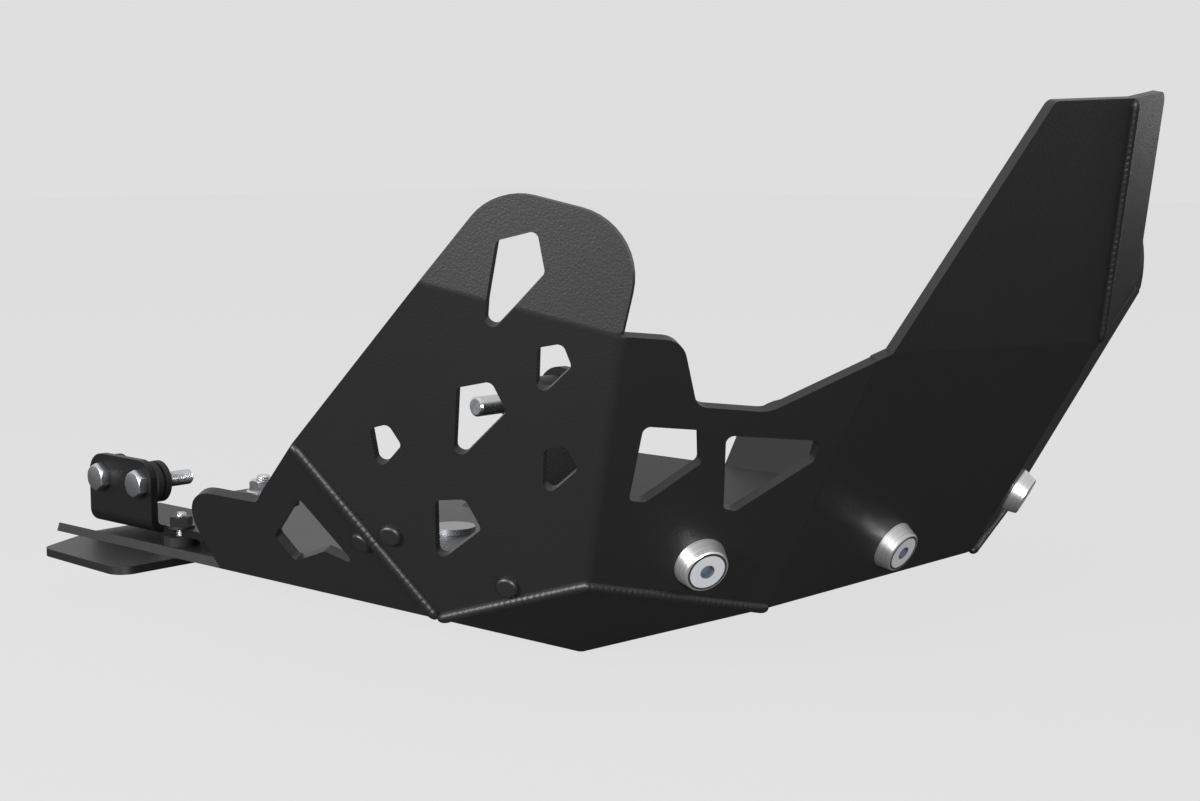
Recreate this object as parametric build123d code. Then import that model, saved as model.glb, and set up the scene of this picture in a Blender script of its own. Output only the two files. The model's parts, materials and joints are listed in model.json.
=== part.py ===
from build123d import *

import os
from math import cos, radians, sin, tan

# Motorcycle skid plate: one bent and welded sheet with its front pucks, rear bracket and inner clamps.
# +X points to the front of the motorcycle, +Y to its left and +Z up, in millimetres.
# The origin is the centre of the flat belly's underside, which the part rests on.

# Sheet
sheet = 4.0
bend_radius = 6.0
hole_corner = 2.6
weld_radius = 2.4
parallel_limit = 0.999
length_slack = 1.01
cut_reach = 3 * sheet

# Hull: the belly, the slopes beside and before it, and the corner points where the panels start
belly_half_width = 92.4
belly_front = 178.0
side_bend_half_width = 172.8
side_bend_height = 28.4
ramp_foot_x = 260.4
ramp_foot_half_width = 74.0
slope_rear = -86.0
slope_rear_corner = 5.0
tail_half_width = 137.5
tail_taper = 4.0
tail_rear_inset = 19.0
tail_rear = -177.0
tail_corner = 9.0

# Panel directions, in degrees: how far a panel looks forward from the side, and how far its top leans out
rim_tilt = 31.9
side_azimuth = 24.0
side_tilt = 20.6
corner_azimuth = 68.4
corner_tilt = 24.2
ramp_tilt = 26.0
far_corner_level = 112.0
tongue_bend = 14.0
wing_level = 100.0
lobe_bend = 18.0

# Lengths along the bends, from their lower ends
rim_seam = 87.5
corner_bend = 105.6
ramp_bend = 112.0

# Rim flap, measured along its lower bend (u) and up it (v), from the nose's side corner
rim_length = 135.7
rim_ear_height = 45.5
rim_ear_radius = 27.0
rim_ear_rear = -134.0
rim_ear_front = -79.0
rim_rise_corner = 7.0
rim_rise_run = 8.4
rim_tab_rear = -112.0
rim_tab_front = -82.0
rim_tab_reach = 24.0
rim_tab_drop = 1.0
rim_tab_corner = 7.0
rim_bolt_inset = 10.0

# Side panel and its lobe
lobe_foot = (15.0, 141.2)
lobe_height = 39.2
lobe_shoulder = 20.0
lobe_rear_radius = 22.0
lobe_front_radius = 24.0
far_lobe_front_radius = 36.0

# Corner panel's top edge, on the near side
corner_ear = (-65.3, 122.8)
corner_ear_radius = 12.0
corner_step = (-53.5, 95.3)
corner_step_radius = 8.0
corner_valley = (-22.5, 91.0)
corner_valley_radius = 14.0

# Ramp's top edge, where the tongue bends up from it
tongue_foot_near = (-65.1, 114.1)
tongue_foot_far = (99.0, 105.5)
tongue_near_top = (76.0, 99.6)
tongue_far_top = (141.1, 105.0)
tongue_corner = 7.0

# Wing strip on the tongue's far edge: along the edge, and out from it
wing_width = 39.0
wing_foot_rise = 15.0
wing_top_drop = 4.0
wing_corner = 6.0

# Cut-outs of the rim flap, the side panel and the near corner panel
rim_cutouts = [[(-48, 53), (-79.5, 28), (-75, 15.2), (-50.5, 25), (-34, 20.5)]]
side_cutouts = [
    [(43.6, 154.5), (58.3, 157.6), (60.8, 143.5), (36.2, 119.5)],
    [(56, 117.2), (65.6, 119.2), (67.8, 110.3), (52.6, 96)],
    [(23.2, 100.2), (36.8, 103.3), (41, 91.3), (16.8, 67.8)],
    [(-14, 81.8), (-6.3, 84.1), (-2.3, 75.4), (-14, 63)],
    [(53.1, 76.8), (61.5, 78.6), (65.2, 69.3), (49.8, 55.6)],
    [(7.2, 52.8), (19.5, 54), (24.1, 41.5), (3.4, 25)],
]
corner_cutouts = [
    [(-73.5, 88.6), (-49.6, 85.3), (-46, 71), (-66, 55.7), (-72.8, 57.2)],
    [(-38.5, 82.2), (2.8, 76.8), (2.9, 68), (-26.5, 48), (-31.8, 49.8)],
]

# Threads, hexagons and clearances
thread_gap = 0.05
thread_relief = 0.05
run_out_length = 1.2
run_out_depth = 0.5
hole_clearance = 0.3
m8_radius = 4.0
m8_hexagon = 13.0
m8_head_height = 5.3
m8_nut_height = 6.5
m6_radius = 3.0
m6_hexagon = 10.0
m6_nut_height = 6.0
m6_head_height = 4.0
m6_flange_radius = 7.0
m6_flange_height = 1.4
nut_spill = 2.0
hexagon_chamfer = 0.6
bolt_tip_chamfer = 0.8

# Front pucks and their countersunk screws
puck_base_radius = 10.6
puck_face_radius = 8.8
puck_height = 6.5
puck_edge = 0.4
countersink_radius = 7.7
countersink_depth = 3.8
puck_socket = 5.0
puck_socket_depth = 3.0
corner_puck = (-36.3, 26.0)
ramp_puck = (0.0, 17.0)

# Low round rivets of the sides, black
rivet_head_radius = 4.4
rivet_head_height = 2.0
rivet_head_crown = 0.75
rivet_radius = 2.4
rivet_tail_radius = 3.6
rivet_tail_height = 2.0
rim_rivet = (-21.5, 35.1)
side_rivets = [(-13.3, 36.4), (30.9, 17.0)]

# Rear bracket: an upright tab and a foot on two spacers
bracket_sheet = 4.0
bracket_bend = 7.0
bracket_outer_y = -89.0
tab_rear = -182.0
tab_front = -127.0
tab_top = 46.0
tab_corner = 11.0
foot_height = 8.5
foot_depth = 44.0
foot_front = -84.0
foot_corner = 9.0
foot_stud_x = (-114.0, -98.0)
foot_stud_y = (-80.0, -58.0)
foot_spacer_radius = 9.0
clamp_bolt_x = (-170.0, -136.0)
clamp_bolt_z = 34.0
clamp_bolt_length = 31.0
bush_radius = 10.8
bush_length = 8.0
bush_groove = 1.6

# Inner clamp arm on the belly, with a boss and its bolt
arm_sheet = 4.0
arm_outer_y = -90.0
arm_x = 163.5
arm_width = 24.0
boss_z = 105.3
boss_radius = 9.0
boss_length = 26.0
arm_bolt_length = 52.0
arm_foot_depth = 34.0
arm_screw_inset = 11.0
arm_stud_spread = 13.0

# Drain disc of the belly
drain_x = -35.0
drain_y = 37.0
drain_radius = 12.0
drain_height = 3.0
drain_hole_radius = 8.0
drain_neck = 3.0

# How a round solid lies on its plane: above it or below it
STAND = (Align.CENTER, Align.CENTER, Align.MIN)
HANG = (Align.CENTER, Align.CENTER, Align.MAX)


def facing(azimuth, tilt):
    """Outward direction of a panel that looks forward by azimuth and whose top leans out by tilt."""
    turn = radians(azimuth)
    lean = radians(tilt)
    return Vector(sin(turn) * cos(lean), -cos(turn) * cos(lean), -sin(lean))


def level(azimuth):
    """Level direction that is turned from +X to +Y by azimuth."""
    return Vector(cos(radians(azimuth)), sin(radians(azimuth)), 0)


def flipped(point):
    """The mirrored point on the other side of the plate."""
    return Vector(point.X, -point.Y, point.Z)


def outline(corners, start_radius=0.0):
    """Closed outline from (u, v) or (u, v, radius) corners, with an arc at each radius."""
    spans = []
    count = len(corners)
    for index, corner in enumerate(corners):
        here = Vector(corner[0], corner[1])
        radius = corner[2] if len(corner) > 2 else start_radius
        before = corners[index - 1]
        after = corners[(index + 1) % count]
        to_before = (Vector(before[0], before[1]) - here).normalized()
        to_after = (Vector(after[0], after[1]) - here).normalized()
        if radius == 0:
            spans.append((here, None, here))
            continue
        half = radians(to_before.get_angle(to_after)) / 2
        reach = radius / tan(half)
        inward = (to_before + to_after).normalized()
        middle = here + inward * (radius / sin(half) - radius)
        spans.append((here + to_before * reach, middle, here + to_after * reach))
    edges = []
    for index, (arc_start, middle, arc_end) in enumerate(spans):
        if middle is not None:
            edges.append(ThreePointArc(arc_start, middle, arc_end))
        edges.append(Line(arc_end, spans[(index + 1) % count][0]))
    return make_face(edges)


class Panel:
    """A flat facet of the shell: its outer face's plane, with u level along it and v up it."""

    def __init__(self, origin, normal, along=None):
        across = along if along is not None else Vector(0, 0, 1).cross(normal).normalized()
        self.plane = Plane(origin=origin, x_dir=across, z_dir=normal)

    def at(self, u, v):
        """Point of the outer face."""
        return self.plane.from_local_coords(Vector(u, v, 0))

    def flat(self, point):
        """The (u, v) place of a point that lies in the outer face."""
        local = self.plane.to_local_coords(point)
        return (local.X, local.Y)

    def slab(self, corners):
        """Sheet of the given outline, standing inwards from the outer face."""
        return extrude(self.plane * outline(corners), amount=-sheet)

    def cutter(self, corners):
        """Prism that goes through the sheet with the given outline."""
        return extrude(self.plane * outline(corners, hole_corner), amount=cut_reach, both=True)

    def seat(self, u, v):
        """Plane on the outer face at a fastener, with z outwards."""
        return Plane(origin=self.at(u, v), x_dir=self.plane.x_dir, z_dir=self.plane.z_dir)


def meet(first, second, third):
    """Point where three panels' outer faces meet."""
    a, b, c = first.plane.z_dir, second.plane.z_dir, third.plane.z_dir
    reach_a = a.dot(first.plane.origin)
    reach_b = b.dot(second.plane.origin)
    reach_c = c.dot(third.plane.origin)
    return (b.cross(c) * reach_a + c.cross(a) * reach_b + a.cross(b) * reach_c) / a.dot(b.cross(c))


def upward(first, second):
    """Direction of the bend between two panels, pointing up."""
    line = first.plane.z_dir.cross(second.plane.z_dir).normalized()
    return line if line.Z > 0 else line * -1


def through(a, b, c):
    """Panel through three points, facing down and out."""
    normal = (b - a).cross(c - a).normalized()
    return Panel(a, normal if normal.Z < 0 else normal * -1)


# Corner points of the hull on the near side (y below zero)
side_corner = Vector(belly_front, -side_bend_half_width, side_bend_height)
belly_corner = Vector(belly_front, -belly_half_width, 0)
ramp_corner = Vector(ramp_foot_x, -ramp_foot_half_width, side_bend_height)

rim = Panel(side_corner, facing(0, rim_tilt))
side = Panel(side_corner, facing(side_azimuth, side_tilt))
corner = Panel(ramp_corner, facing(corner_azimuth, corner_tilt))
ramp = Panel(Vector(ramp_foot_x, 0, side_bend_height), facing(90, ramp_tilt))
nose = through(side_corner, ramp_corner, belly_corner)
belly = Panel(Vector(0, 0, 0), Vector(0, 0, -1), Vector(1, 0, 0))
belly_rear = Vector(slope_rear, -belly_half_width, 0)
side_slope = through(side_corner, belly_corner, belly_rear)
front_slope = through(ramp_corner, belly_corner, flipped(belly_corner))

# Ramp's top corners, and the tongue, wing and far corner panel that start from them
tongue_near = ramp.at(*tongue_foot_near)
tongue_far = ramp.at(*tongue_foot_far)
tongue_along = (tongue_far - tongue_near).normalized()
tongue_normal = ramp.plane.z_dir.rotate(Axis(tongue_near, tongue_along), -tongue_bend)
tongue = Panel(tongue_near, tongue_normal, tongue_along)
tongue_base = (tongue_far - tongue_near).length
wing_root = tongue.at(*tongue_far_top)
wing_up = (wing_root - tongue_far).normalized()
wing_normal = level(wing_level).cross(wing_up).normalized()
wing = Panel(tongue_far, wing_normal, wing_up)
far_corner_normal = level(far_corner_level).cross(tongue_far - flipped(ramp_corner)).normalized()
far_corner = Panel(flipped(ramp_corner), far_corner_normal)
mirrored_far_corner = Panel(ramp_corner, flipped(far_corner_normal))

rim_top = side_corner + upward(rim, side) * rim_seam
rim_tab_top = rim.at(0, rim_ear_height).Z - rim_tab_drop
rim_tab_root = rim.at(0, rim_ear_height).Y + sheet
ramp_top = ramp_corner + upward(corner, ramp) * ramp_bend


class SideWall:
    """One side of the shell, drawn on the near side, up to the corner panel that closes it."""

    def __init__(self, corner_panel, lobe_front):
        self.lobe_front = lobe_front
        self.nose_side = meet(side, corner_panel, nose)
        self.bend_top = self.nose_side + upward(side, corner_panel) * corner_bend
        self.lobe_rear = side.at(*lobe_foot)
        lobe_along = (self.bend_top - self.lobe_rear).normalized()
        lobe_normal = side.plane.z_dir.rotate(Axis(self.lobe_rear, lobe_along), -lobe_bend)
        self.lobe = Panel(self.lobe_rear, lobe_normal, lobe_along)
        self.lobe_base = (self.bend_top - self.lobe_rear).length

    def slabs(self):
        """Rim flap, side panel, lobe, nose facet and side slope."""
        rim_outline = [
            (0, 0),
            rim.flat(rim_top),
            (rim_ear_front + rim_rise_run, rim_ear_height + rim_rise_corner, rim_rise_corner),
            (rim_ear_front, rim_ear_height, rim_rise_corner),
            (rim_ear_rear, rim_ear_height, rim_ear_radius),
            (-rim_length, 0),
        ]
        side_outline = [
            (0, 0),
            side.flat(self.nose_side),
            side.flat(self.bend_top),
            lobe_foot,
            side.flat(rim_top),
        ]
        lobe_outline = [
            (0, 0),
            (self.lobe_base, 0),
            (self.lobe_base, lobe_height, self.lobe_front),
            (lobe_shoulder, lobe_height, lobe_rear_radius),
        ]
        nose_outline = [
            nose.flat(point) for point in (side_corner, self.nose_side, ramp_corner, belly_corner)
        ]
        slope_corner = side_slope.flat(Vector(slope_rear, -side_bend_half_width, side_bend_height))
        slope_outline = [
            side_slope.flat(side_corner),
            (*slope_corner, slope_rear_corner),
            side_slope.flat(belly_rear),
            side_slope.flat(belly_corner),
        ]
        return [
            rim.slab(rim_outline),
            side.slab(side_outline),
            self.lobe.slab(lobe_outline),
            nose.slab(nose_outline),
            side_slope.slab(slope_outline),
        ]

    def rim_tab(self):
        """Level tab that bends inwards from the rim flap's ear."""
        tab = [
            (side_corner.X + rim_tab_rear, rim_tab_root),
            (side_corner.X + rim_tab_front, rim_tab_root),
            (side_corner.X + rim_tab_front, rim_tab_root + rim_tab_reach, rim_tab_corner),
            (side_corner.X + rim_tab_rear, rim_tab_root + rim_tab_reach, rim_tab_corner),
        ]
        return extrude(Plane.XY.offset(rim_tab_top) * outline(tab), amount=-sheet)

    def cutouts(self):
        """Prisms of the openings in the rim flap and the side panel."""
        return [rim.cutter(c) for c in rim_cutouts] + [side.cutter(c) for c in side_cutouts]


near_wall = SideWall(corner, lobe_front_radius)
far_wall = SideWall(mirrored_far_corner, far_lobe_front_radius)


def belly_slab():
    """Flat belly between the side slopes."""
    return belly.slab([
        (belly_front, belly_half_width),
        (slope_rear, belly_half_width),
        (slope_rear, -belly_half_width),
        (belly_front, -belly_half_width),
    ])


def tail_slab():
    """Wider flat tail behind the belly."""
    half = [
        (slope_rear, tail_half_width, tail_corner),
        (tail_rear + tail_rear_inset, tail_half_width - tail_taper, tail_corner),
        (tail_rear, belly_half_width, tail_corner),
    ]
    other = [(u, -v, *rest) for u, v, *rest in reversed(half)]
    return belly.slab(half + other)


def wing_outline():
    """Outline of the wing strip, along the tongue's edge and out from it."""
    length = (wing_root - tongue_far).length
    return [
        (0, 0),
        (wing_foot_rise, -wing_width, wing_corner),
        (length - wing_top_drop, -wing_width, wing_corner),
        (length, 0),
    ]


def hull_slabs():
    """Every flat piece of the shell, near side and far side."""
    corner_outline = [
        (0, 0),
        corner.flat(ramp_top),
        (*corner_valley, corner_valley_radius),
        (*corner_step, corner_step_radius),
        (*corner_ear, corner_ear_radius),
        corner.flat(near_wall.bend_top),
        corner.flat(near_wall.nose_side),
    ]
    ramp_outline = [
        (-ramp_foot_half_width, 0),
        (ramp_foot_half_width, 0),
        tongue_foot_far,
        tongue_foot_near,
        ramp.flat(ramp_top),
    ]
    tongue_outline = [
        (0, 0),
        (tongue_base, 0),
        tongue_far_top,
        (*tongue_near_top, tongue_corner),
    ]
    wing_foot = wing.at(wing_foot_rise, -wing_width)
    far_outline = [
        (0, 0),
        far_corner.flat(flipped(far_wall.nose_side)),
        far_corner.flat(flipped(far_wall.bend_top)),
        far_corner.flat(wing_foot),
        far_corner.flat(tongue_far),
    ]
    slope_outline = [
        front_slope.flat(point)
        for point in (ramp_corner, flipped(ramp_corner), flipped(belly_corner), belly_corner)
    ]
    middle = [
        belly_slab(),
        front_slope.slab(slope_outline),
        ramp.slab(ramp_outline),
        tongue.slab(tongue_outline),
        corner.slab(corner_outline),
        far_corner.slab(far_outline),
    ]
    near = near_wall.slabs() + [near_wall.rim_tab()]
    far = [mirror(slab, about=Plane.XZ) for slab in far_wall.slabs()]
    return middle + near + far


def straight_edge(solid, target, along):
    """The straight edge of the solid that runs along the given direction and lies nearest the target."""
    parallel = [
        edge for edge in solid.edges().filter_by(GeomType.LINE)
        if abs((edge @ 1 - edge @ 0).normalized().dot(along)) > parallel_limit
    ]
    return min(parallel, key=lambda edge: (edge @ 0.5 - target).length)


def soften(solid, bends):
    """Round the outside of every bend, each given by its two ends."""
    edges = [straight_edge(solid, (a + b) * 0.5, (b - a).normalized()) for a, b in bends]
    return fillet(edges, bend_radius)


def soft_bends():
    """Ends of every bend that shows as a soft line."""
    def wall(side_wall):
        return [
            (side_wall.nose_side, side_wall.bend_top),
            (side_wall.lobe_rear, side_wall.bend_top),
            (side_corner, belly_corner),
            (ramp_corner, belly_corner),
            (belly_corner, belly_rear),
        ]

    middle = [
        (ramp_corner, ramp_top),
        (flipped(ramp_corner), tongue_far),
        (tongue_near, tongue_far),
        (ramp_corner, flipped(ramp_corner)),
        (belly_corner, flipped(belly_corner)),
    ]
    far = [(flipped(a), flipped(b)) for a, b in wall(far_wall)]
    return middle + wall(near_wall) + far


def upright(x, y, z):
    """Plane at a place, with z up."""
    return Plane(origin=(x, y, z), x_dir=(1, 0, 0), z_dir=(0, 0, 1))


def crosswise(x, y, z):
    """Plane at a place, with z towards the near side and x forward."""
    return Plane(origin=(x, y, z), x_dir=(1, 0, 0), z_dir=(0, -1, 0))


def mirrored_seat(seat):
    """The same seat on the far side."""
    return Plane(origin=flipped(seat.origin), x_dir=flipped(seat.x_dir), z_dir=flipped(seat.z_dir))


# Seats of the fasteners, with z outwards from the shell
puck_seats = {
    "near": corner.seat(*corner_puck),
    "centre": ramp.seat(*ramp_puck),
    "far": far_corner.seat(-corner_puck[0], corner_puck[1]),
}
near_rivets = [rim.seat(*rim_rivet)] + [side.seat(*place) for place in side_rivets]
rivet_seats = {f"near_{index}": seat for index, seat in enumerate(near_rivets, 1)}
rivet_seats |= {f"far_{index}": mirrored_seat(seat) for index, seat in enumerate(near_rivets, 1)}
rim_bolt_x = side_corner.X + (rim_tab_rear + rim_tab_front) / 2
rim_bolt_y = rim_tab_root + rim_tab_reach - rim_bolt_inset
arm_studs = [(arm_x + side_step, arm_outer_y + arm_foot_depth - arm_screw_inset)
             for side_step in (-arm_stud_spread / 2, arm_stud_spread / 2)]
foot_studs = list(zip(foot_stud_x, foot_stud_y))


def skid_shell():
    """The bent sheet with its tail, cut-outs and fastener holes."""
    slabs = hull_slabs()
    solid = slabs[0].fuse(*slabs[1:]).clean()
    solid = soften(solid, soft_bends())
    solid = solid.fuse(tail_slab()).clean()
    tools = near_wall.cutouts() + [corner.cutter(c) for c in corner_cutouts]
    tools += [mirror(tool, about=Plane.XZ) for tool in far_wall.cutouts()]
    for seat in puck_seats.values():
        tools.append(seat * Cylinder(m8_radius + hole_clearance, cut_reach))
    for seat in rivet_seats.values():
        tools.append(seat * Cylinder(rivet_radius + thread_gap, cut_reach))
    tab_hole = upright(rim_bolt_x, rim_bolt_y, rim_tab_top)
    tools.append(tab_hole * Cylinder(m6_radius + hole_clearance, cut_reach))
    tools.append(upright(drain_x, drain_y, 0) * Cylinder(drain_hole_radius, cut_reach))
    return solid.cut(*tools)


def tongue_wing():
    """Strip that continues the tongue on its far side, cut to meet the shell's flat pieces."""
    return wing.slab(wing_outline()).cut(*hull_slabs())


def seam_bead(points, *walls):
    """Weld bead that follows the points on the outside of the walls."""
    pieces = []
    for start, end in zip(points, points[1:]):
        along = end - start
        place = Plane(origin=start, z_dir=along.normalized())
        pieces.append(place * Cylinder(weld_radius, along.length, align=STAND))
    pieces += [Pos(point) * Sphere(weld_radius) for point in points[1:-1]]
    bead = pieces[0].fuse(*pieces[1:]) if len(pieces) > 1 else pieces[0]
    bead = bead.cut(*walls)
    return max(bead.solids(), key=lambda solid: solid.volume)


def hexagon(across_flats, height):
    """Hexagonal prism that stands on its plane, with flats that face y."""
    return extrude(RegularPolygon(across_flats / 2, 6, major_radius=False), height)


def nut(across_flats, height, bore_radius, flange_radius=0.0):
    """Nut that stands on its plane, with a flange where one is given."""
    body = chamfered_hexagon(across_flats, height)
    if flange_radius:
        body += Cylinder(flange_radius, m6_flange_height, align=STAND)
    return body - Cylinder(bore_radius + thread_gap, height, align=STAND)


def chamfered_hexagon(across_flats, height):
    """Hexagonal prism whose outer corners are turned off at the top."""
    cap = Cone(across_flats / 2 + height, across_flats / 2 - hexagon_chamfer,
               height + hexagon_chamfer, align=STAND)
    return hexagon(across_flats, height) & cap


def puck():
    """Tapered disc with a countersunk bore, standing on its plane."""
    body = Cone(puck_base_radius, puck_face_radius, puck_height, align=STAND)
    rim_edge = body.edges().filter_by(GeomType.CIRCLE).sort_by(Axis.Z)[-1]
    body = chamfer([rim_edge], puck_edge)
    body -= Cylinder(m8_radius + thread_gap, puck_height, align=STAND)
    seat = Cone(m8_radius + thread_gap, countersink_radius + thread_gap, countersink_depth, align=STAND)
    return body - Pos(0, 0, puck_height - countersink_depth) * seat


def puck_screw():
    """Countersunk screw that lies flush in the puck and reaches through the nut."""
    head_foot = puck_height - countersink_depth
    reach = sheet + m8_nut_height + nut_spill
    screw = Pos(0, 0, head_foot) * Cone(m8_radius, countersink_radius, countersink_depth, align=STAND)
    screw += Pos(0, 0, -reach) * Cylinder(m8_radius, reach + head_foot, align=STAND)
    return screw - Pos(0, 0, puck_height - puck_socket_depth) * hexagon(puck_socket, puck_socket_depth)


def puck_nut():
    """Nut behind the sheet, on the puck's screw."""
    return Pos(0, 0, -sheet) * (Rot(180, 0, 0) * nut(m8_hexagon, m8_nut_height, m8_radius))


def rivet():
    """Low round head outside, shank through the sheet and a smaller head inside."""
    head = Cylinder(rivet_head_radius, rivet_head_height, align=STAND)
    top = head.edges().filter_by(GeomType.CIRCLE).sort_by(Axis.Z)[-1]
    head = fillet([top], rivet_head_height * rivet_head_crown)
    shank = Cylinder(rivet_radius, sheet, align=HANG)
    tail = Pos(0, 0, -sheet) * Cylinder(rivet_tail_radius, rivet_tail_height, align=HANG)
    return head + shank + tail


def hex_bolt(across_flats, head_height, radius, length, grip):
    """Bolt whose head stands on its plane, with a plain grip, a run-out groove and a thread below it."""
    bolt = chamfered_hexagon(across_flats, head_height) + Cylinder(radius, grip - run_out_length, align=HANG)
    bolt += Cylinder(radius - run_out_depth, grip, align=HANG)
    bolt += Pos(0, 0, -grip) * Cylinder(radius - thread_relief, length - grip, align=HANG)
    tip = bolt.edges().filter_by(GeomType.CIRCLE).sort_by(Axis.Z)[0]
    return chamfer([tip], bolt_tip_chamfer)


def weld_stud(height):
    """Threaded stud that stands on the belly."""
    stud = Cylinder(m6_radius, height, align=STAND)
    tip = stud.edges().filter_by(GeomType.CIRCLE).sort_by(Axis.Z)[-1]
    return chamfer([tip], bolt_tip_chamfer)


def spacer(radius, length, bore_radius):
    """Plain round spacer that stands on its plane."""
    return Cylinder(radius, length, align=STAND) - Cylinder(bore_radius + thread_gap, length, align=STAND)


def clamp_bush():
    """Round bush with a groove around its middle."""
    bush = spacer(bush_radius, bush_length, m8_radius)
    ring = Cylinder(bush_radius + bush_groove, bush_groove, align=STAND)
    ring -= Cylinder(bush_radius - bush_groove, bush_groove, align=STAND)
    return bush - Pos(0, 0, (bush_length - bush_groove) / 2) * ring


def rear_bracket():
    """Bent angle: an upright tab, and a foot that reaches further forward."""
    outer = bracket_outer_y
    inner = outer + bracket_sheet
    top = foot_height + bracket_sheet
    profile = [
        (outer, foot_height, bracket_bend),
        (outer, tab_top),
        (inner, tab_top),
        (inner, top, bracket_bend - bracket_sheet),
        (outer + foot_depth, top),
        (outer + foot_depth, foot_height),
    ]
    start = Plane(origin=(tab_rear, 0, 0), x_dir=(0, 1, 0), z_dir=(1, 0, 0))
    angle = extrude(start * outline(profile), amount=tab_front - tab_rear)
    tall = [edge for edge in angle.edges() if edge.length < length_slack * bracket_sheet
            and abs((edge @ 0.5).Z - tab_top) < thread_gap]
    angle = fillet(tall, tab_corner)
    foot = [
        (tab_rear + foot_corner, outer + bracket_bend),
        (foot_front, outer + bracket_bend, foot_corner),
        (foot_front, outer + foot_depth, foot_corner),
        (tab_rear + foot_corner, outer + foot_depth),
    ]
    body = angle + extrude(Plane.XY.offset(foot_height) * outline(foot), amount=bracket_sheet)
    for x in clamp_bolt_x:
        body -= crosswise(x, outer, clamp_bolt_z) * Cylinder(m8_radius + hole_clearance, cut_reach)
    for x, y in foot_studs:
        body -= upright(x, y, foot_height) * Cylinder(m6_radius + hole_clearance, cut_reach)
    return body


def clamp_arm():
    """Upright arm on the belly, with a foot and a round boss at its top."""
    outer = arm_outer_y
    inner = outer + arm_sheet
    profile = [
        (outer, sheet, bracket_bend),
        (outer, boss_z),
        (inner, boss_z),
        (inner, sheet + arm_sheet, bracket_bend - arm_sheet),
        (outer + arm_foot_depth, sheet + arm_sheet),
        (outer + arm_foot_depth, sheet),
    ]
    start = Plane(origin=(arm_x - arm_width / 2, 0, 0), x_dir=(0, 1, 0), z_dir=(1, 0, 0))
    body = extrude(start * outline(profile), amount=arm_width)
    disc = crosswise(arm_x, inner, boss_z) * Cylinder(arm_width / 2, arm_sheet, align=STAND)
    boss = crosswise(arm_x, outer, boss_z) * Cylinder(boss_radius, boss_length, align=STAND)
    body = body + disc + boss
    body -= crosswise(arm_x, outer, boss_z) * Cylinder(m8_radius + thread_gap, 4 * boss_length)
    for x, y in arm_studs:
        body -= upright(x, y, sheet) * Cylinder(m6_radius + hole_clearance, cut_reach)
    return body


def drain_disc():
    """Plug in the belly's drain hole, with its rim on the inside."""
    plug = Pos(0, 0, sheet - drain_neck) * Cylinder(drain_hole_radius - hole_clearance, drain_neck, align=STAND)
    plug += Pos(0, 0, sheet) * Cylinder(drain_radius, drain_height, align=STAND)
    return Pos(drain_x, drain_y, 0) * plug


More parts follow.
